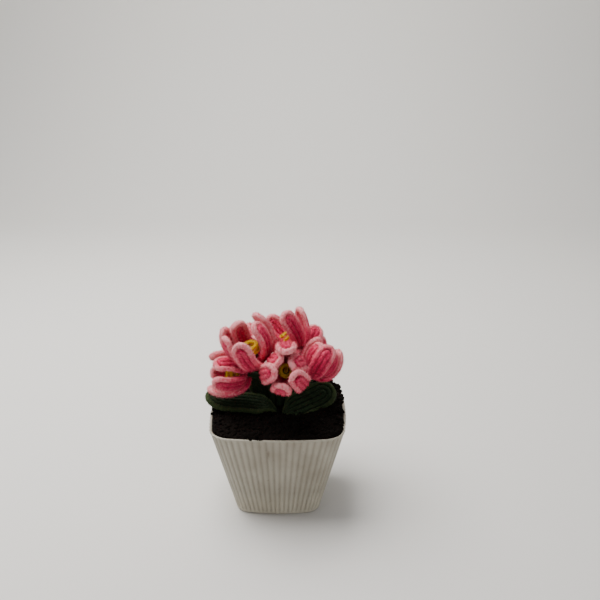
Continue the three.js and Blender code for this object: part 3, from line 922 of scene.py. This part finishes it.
def flower_frame(flower):
    """A function that takes points of the flower's own frame to the pot's frame."""
    axis, face = flower["axis"], flower["face"]
    face = normalised(face - axis * np.dot(face, axis))
    matrix = np.stack([face, np.cross(axis, face), axis], axis=1)

    def to_world(points, turn_only=False):
        return points @ matrix.T + (0 if turn_only else flower["at"])
    return to_world


for number, (name, flower) in enumerate(FLOWERS.items()):
    to_world = flower_frame(flower)
    petals = flower["petals"]
    for k in range(petals):
        bowl = petal_bowl(flower["length"], flower["lean"] + flower["spread"][k], flower["curl"], k % 2)
        azimuth = math.radians(FIRST_PETAL[petals] + k * FAN[petals] + flower["swing"][k])
        fluff = Fluff(1000 + 10 * number + k, strands=len(PETAL_LOOPS))
        bend_petal(fluff, to_world, bowl, azimuth, flower["length"] - flower["trim"][k])
        fluff.make(f"fluffy_petal_{name}_{k + 1}", pink, f"petal_{name}_{k + 1}")
    print("flower", name, petals, "petals")

# %% [markdown]
# ## Stamens
#
# In the middle of each flower a yellow strand is wound into a short spring. The Screw modifier
# could wind a plain tube, but not one with pile. So the path is worked out as for any strand:
# it rises from the end of the stem, swings out to the spring's radius and climbs evenly.

# %% Wind the stamens
COIL_RADIUS, COIL_STRAND, COIL_TURNS = 4.0, 1.35, 1.75   # radius of the spring and of its pile
STAMEN_FOOT, STAMEN_TOP = SEAT + 0.3, 15         # heights in the flower
LEAD_UP, COIL_FROM = 1.2, 3.2                    # over the foot: the straight lead, the first turn
LEAD_STEPS, COIL_POINTS = 8, 60


def stamen_path():
    """The coil in the flower's own frame."""
    t = np.linspace(0, 1, COIL_POINTS)
    angle = t * COIL_TURNS * 2 * math.pi
    low = STAMEN_FOOT + COIL_FROM
    z = low + (STAMEN_TOP - COIL_STRAND - low) * t
    coil = np.stack([COIL_RADIUS * np.cos(angle), COIL_RADIUS * np.sin(angle), z], axis=1)
    lead = smooth_path([(0, 0, STAMEN_FOOT), (0, 0, STAMEN_FOOT + LEAD_UP), coil[0], coil[2]], LEAD_STEPS)
    return np.vstack([lead[:2 * LEAD_STEPS], coil])


for number, (name, flower) in enumerate(FLOWERS.items()):
    fluff = Fluff(300 + number, strands=1, step=0.5, tufts=12)
    add_strand(fluff, flower_frame(flower)(stamen_path()), COIL_STRAND, pale=0.75, reach=1.0)
    fluff.make(f"fluffy_stamen_{name}", yellow, f"stamen_{name}")
    print("stamen", name, fluff.count, "points")

# %% [markdown]
# ## Leaves
#
# A leaf is three loops of green strand, one inside the other, pressed flat. It leaves the soil as a
# narrow neck and then opens to full width. Two leaves lie low over the soil in front, and a third
# stands upright beside the stems. A leaf could be a bent plane with furrows, but its rim has to be
# as round as the strand. So it is laid out like a petal, on a sheet that follows a bent
# middle line instead of a bowl.

# %% The sheet of a leaf
LEAVES = {
    "leaf_left": dict(spine=[(-2, -9, 60), (-2, -9, 74), (-7, -7.5, 78),
                             (-20, -5, 80), (-42, -3, 81), (-56, -1, 86)],
                      side=(0, 0.97, 0.25), width=22),
    "leaf_right": dict(spine=[(5, -11.5, 60), (5, -11.5, 74), (10, -10.6, 78),
                              (20, -5, 81), (33, 4, 83.5), (42, 11, 88)],
                       side=(0, 0.78, 0.62), width=23),
    "leaf_back": dict(spine=[(-12, 12, 60), (-12, 12, 73), (-14, 12, 83),
                             (-18, 12, 95), (-22, 12, 107)],
                      side=(-0.96, 0, -0.28), width=17),
}
SPINE_STEP = 0.5


def leaf_sheet(leaf):
    """A function (t, across) -> points and directions square to the leaf, and the leaf's length."""
    spine, = even_steps(smooth_path(leaf["spine"]), SPINE_STEP)
    along = normalised(np.gradient(spine, axis=0))
    square = normalised(np.cross(along, normalised(np.array(leaf["side"], float))))
    width = np.cross(square, along)
    places = np.linspace(0, 1, len(spine))

    def read(values, t):
        return np.stack([np.interp(t, places, values[:, c]) for c in range(3)], axis=1)

    def at(t, across):
        return read(spine, t) + read(width, t) * across[:, None], -read(square, t)
    return at, SPINE_STEP * (len(spine) - 1)


for name, leaf in LEAVES.items():
    print(name, "is", leaf_sheet(leaf)[1], "mm long from its root")

# %% [markdown]
# The three loops share the width in six equal lanes. In the neck they lie close together, and a
# smooth step lets them out to their lanes.

# %% Lay the leaves
LEAF_LOOPS = 3
NECK_FROM = 0.14                 # share of the length at which the pile starts, under the soil
OPENS_FROM, OPENS_OVER = 0.2, 0.22       # shares of the length over which the neck opens
NECK_LANE = 0.5                  # width of a lane in the neck
NECK_PILE, FULL_FROM, FULL_OVER = 0.6, 0.15, 0.25    # the pile's size in the neck; where it fills out
ROUNDED = 1.1                    # length of a loop's round end, as a share of half its width
LEAF_SIDE_POINTS, LEAF_TIP_POINTS = 60, 16
# The outer loop is painted as lit, the inner ones in painted shade
LIT_RIM_TONE, SHADED_INNER_TONE = 0.95, 0.5


def leaf_loop(row, leaf, length):
    """t and across of the points of one loop; row 0 is the outer one."""
    pitch = (leaf["width"] - 2 * STRAND) / (2 * LEAF_LOOPS - 1)
    lane = LEAF_LOOPS - 0.5 - row
    end = 1 - (STRAND + row * pitch) / length
    up = np.linspace(NECK_FROM, end - ROUNDED * lane * pitch / length, LEAF_SIDE_POINTS)
    opened = np.clip((up - OPENS_FROM) / OPENS_OVER, 0, 1)
    opened = opened**2 * (3 - 2 * opened)
    side = lane * (NECK_LANE + (pitch - NECK_LANE) * opened)
    return over_the_tip(up, side, end, LEAF_TIP_POINTS)


def bend_leaf(fluff, leaf):
    """Adds the nested loops of a leaf."""
    sheet, length = leaf_sheet(leaf)
    for row in range(LEAF_LOOPS):
        outer = row == 0
        t, across = leaf_loop(row, leaf, length)
        point, outward = sheet(t, across)
        filled = NECK_PILE + (1 - NECK_PILE) * np.clip((t - FULL_FROM) / FULL_OVER, 0, 1)
        add_strand(fluff, point, STRAND * filled, outward, LIT_RIM_TONE if outer else SHADED_INNER_TONE,
                   edge=float(outer), reach=1.0)


for number, (name, leaf) in enumerate(LEAVES.items()):
    fluff = Fluff(400 + number, strands=LEAF_LOOPS, tufts=12, loose=20)
    bend_leaf(fluff, leaf)
    piece = fluff.make(f"fluffy_{name}", green, name)
    print(name, len(piece.data.polygons), "faces")

# %% [markdown]
# ## Soil
#
# Potting soil is dark, fibrous and crumbly. A displaced plane would give the lumps, but not the
# grains that stand free. So the bed is a fine skin over the pot's inside outline, raised
# into lumps, and crumbs of many sizes lie on it and over the rim.

# %% The bed of soil
SOIL_LEVEL = POT_HEIGHT - 0.6    # where the bed meets the wall
SOIL_FOOT, WALL_GAP = 60, 0.3    # how far down the side of the bed goes, and its gap to the wall
EDGE_ROUND = 0.05                # the bed's upper edge is drawn in by this much
SOIL_HEAP = 3.0                  # how much higher it is away from the wall
BROAD_LUMPS, SMALL_LUMPS = 1.1, 0.5      # their heights
BED_ROUGHNESS, STEEPER = 0.28, (1, 1, 1.4)       # random shifts, larger upwards
BED_POINTS, BED_RINGS = 320, 56
BED_EDGE, BED_MIDDLE = 0.985, 0.02       # the first and the last ring, as shares of the outline


def soil_lumps(x, y):
    """Height of the soil over its own level, from broad waves and small ones."""
    broad = (np.sin(x * 0.31 + 1) * np.cos(y * 0.27) + np.sin(x * 0.13 - y * 0.36)) / 2
    small = np.sin(x * 0.9 + 2 * np.sin(y * 0.5)) * np.cos(y * 0.8 + np.sin(x * 0.7))
    return BROAD_LUMPS * broad + SMALL_LUMPS * small


def soil_heap(share):
    """How far the bed is heaped up; share is 1 at the wall and 0 in the middle."""
    return SOIL_HEAP * np.minimum(1, 0.5 + 2 * (1 - share))


def soil_rings(random):
    """Rings from the foot of the soil up its side and in to the middle of the bed."""
    along = np.arange(BED_POINTS) / BED_POINTS
    at_wall = outline_at(SOIL_LEVEL, POT_WALL + WALL_GAP + EDGE_ROUND, along)
    rings = [outline_at(height, POT_WALL + WALL_GAP, along) for height in (SOIL_FOOT, SOIL_LEVEL - 2)]
    rings.append(at_wall)
    for share in np.linspace(BED_EDGE, BED_MIDDLE, BED_RINGS):
        ring = at_wall.copy()
        ring[:, :2] *= share
        ring[:, 2] = SOIL_LEVEL + soil_heap(share) + soil_lumps(ring[:, 0], ring[:, 1])
        ring += random.normal(0, BED_ROUGHNESS, ring.shape) * STEEPER
        rings.append(ring)
    return np.array(rings)


bed_points, bed_faces = skin(soil_rings(np.random.default_rng(7)))
print("soil bed:", len(bed_points), "points, highest at", bed_points[:, 2].max().round(1), "mm")

# %% [markdown]
# Each crumb is a ball of twelve corners, the simplest one that looks round. It is stretched, every
# corner is moved and the whole is turned about a direction of its own, so no two are alike.

# %% Crumbs
CRUMB_STRETCH = (0.6, 1.25)      # each crumb along x, y and z
CORNER_SHIFT = (0.7, 1.2)        # each corner, in and out
GOLDEN = (1 + math.sqrt(5)) / 2
BALL_CORNERS = normalised(np.array([
    (-1, GOLDEN, 0), (1, GOLDEN, 0), (-1, -GOLDEN, 0), (1, -GOLDEN, 0),
    (0, -1, GOLDEN), (0, 1, GOLDEN), (0, -1, -GOLDEN), (0, 1, -GOLDEN),
    (GOLDEN, 0, -1), (GOLDEN, 0, 1), (-GOLDEN, 0, -1), (-GOLDEN, 0, 1)], float))
BALL_FACES = np.array([
    (0, 11, 5), (0, 5, 1), (0, 1, 7), (0, 7, 10), (0, 10, 11), (1, 5, 9), (5, 11, 4),
    (11, 10, 2), (10, 7, 6), (7, 1, 8), (3, 9, 4), (3, 4, 2), (3, 2, 6), (3, 6, 8),
    (3, 8, 9), (4, 9, 5), (2, 4, 11), (6, 2, 10), (8, 6, 7), (9, 8, 1)])


def crumbs(centres, sizes, random):
    """Points and triangles of many crumbs, each an uneven ball."""
    number = len(centres)
    stretch = random.uniform(*CRUMB_STRETCH, (number, 1, 3))
    rough = random.uniform(*CORNER_SHIFT, (number, len(BALL_CORNERS), 1))
    pole = normalised(random.normal(0, 1, (number, 1, 3)))
    ball = BALL_CORNERS[None] * stretch * rough
    angle = random.uniform(0, 2 * math.pi, (number, 1, 1))
    along_pole = pole * np.sum(pole * ball, axis=2, keepdims=True)
    turned = ball * np.cos(angle) + np.cross(pole, ball) * np.sin(angle) + along_pole * (1 - np.cos(angle))
    points = centres[:, None] + turned * sizes[:, None, None]
    faces = BALL_FACES[None] + len(BALL_CORNERS) * np.arange(number)[:, None, None]
    return points.reshape(-1, 3), faces.reshape(-1, 3)


print("faces of a crumb:", len(BALL_FACES))

# %% [markdown]
# ### Dark earth
#
# Wet peat is almost black, with brown fibres and a few lighter grains. One noise breaks up the
# colour, and a finer one, sent to the normal as a strong bump, keeps even a single crumb rough.

# %% The colour of wet peat
PEAT = [(0.3, (0.0012, 0.0007, 0.0005)), (0.55, (0.004, 0.0022, 0.0013)),
        (0.72, (0.010, 0.0055, 0.003)), (0.88, (0.040, 0.024, 0.014))]


def dark_earth():
    """Nearly black, matte, rough earth."""
    material, shader = plain_material("dark earth", (0.01, 0.006, 0.004), 0.9)
    place = node_of(material, "ShaderNodeTexCoord")
    colour = ramp(material, noise(material, place, scale=700, detail=4, rough=0.7), PEAT)
    link(material, colour, shader.inputs["Base Color"])
    shader.inputs["Specular IOR Level"].default_value = 0.08
    grain = noise(material, place, scale=1500, detail=4, rough=0.7)
    bump(material, shader, grain, strength=0.8, distance_mm=0.5)
    return material


# %% [markdown]
# Most crumbs are strewn evenly over the bed. Near the rim they were spilled in clods: a thin seam
# along the front wall, a heap over the right side, and a few here and there.

# %% Scatter the crumbs and make the piece
LOOSE_CRUMBS = 2600
CRUMB_SHAPE, CRUMB_SCALE, CRUMB_LIMITS = 2.2, 0.38, (0.3, 2.4)   # many small ones, a few big ones
CLODS = [
    dict(start=0.75, stop=1.04, number=150, inset=(1.4, 3.2), high=0.5, big=0.9),    # front wall
    dict(start=0.11, stop=0.27, number=120, inset=(0.7, 4.5), high=2.2, big=2.2),    # right side
    dict(start=0.57, stop=0.62, number=14, inset=(1.0, 3.5), high=1.6, big=1.8),     # left side
    dict(start=0.785, stop=0.81, number=14, inset=(0.2, 2.0), high=0.3, big=1.0),    # front rim
]


def strewn(random):
    """Centres and sizes of the crumbs on the bed."""
    along = random.uniform(0, 1, LOOSE_CRUMBS)
    share = np.sqrt(random.uniform(0.02, 1, LOOSE_CRUMBS))
    centres = outline_at(SOIL_LEVEL, POT_WALL + 0.8, along)
    centres[:, :2] *= share[:, None]
    centres[:, 2] += soil_heap(share) + soil_lumps(centres[:, 0], centres[:, 1])
    return centres, random.gamma(CRUMB_SHAPE, CRUMB_SCALE, LOOSE_CRUMBS).clip(*CRUMB_LIMITS)


def spilled(clod, random):
    """Centres and sizes of the crumbs of one clod on the rim."""
    along = random.uniform(clod["start"], clod["stop"], clod["number"])
    centres = outline_at(POT_HEIGHT, random.uniform(*clod["inset"], clod["number"]), along)
    centres[:, 2] += random.uniform(0, clod["high"], clod["number"])
    return centres, random.uniform(0.5, 1, clod["number"]) * clod["big"]


random = np.random.default_rng(11)
heaps = [strewn(random), *[spilled(clod, random) for clod in CLODS]]
centres, sizes = (np.concatenate(column) for column in zip(*heaps))
crumb_points, crumb_faces = crumbs(centres, sizes, random)
soil = make_piece("crumbly_soil", np.vstack([bed_points, crumb_points]),
                  [*bed_faces, crumb_faces + len(bed_points)], dark_earth(), "soil")
print("soil:", len(centres), "crumbs,", len(soil.data.polygons), "faces")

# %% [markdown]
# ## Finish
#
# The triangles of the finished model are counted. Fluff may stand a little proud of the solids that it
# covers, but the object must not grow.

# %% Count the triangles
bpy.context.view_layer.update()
shown = [thing for thing in bpy.data.objects if thing.type == "MESH" and not thing.hide_render]
print("triangles  ", sum(len(face.vertices) - 2 for thing in shown for face in thing.data.polygons))
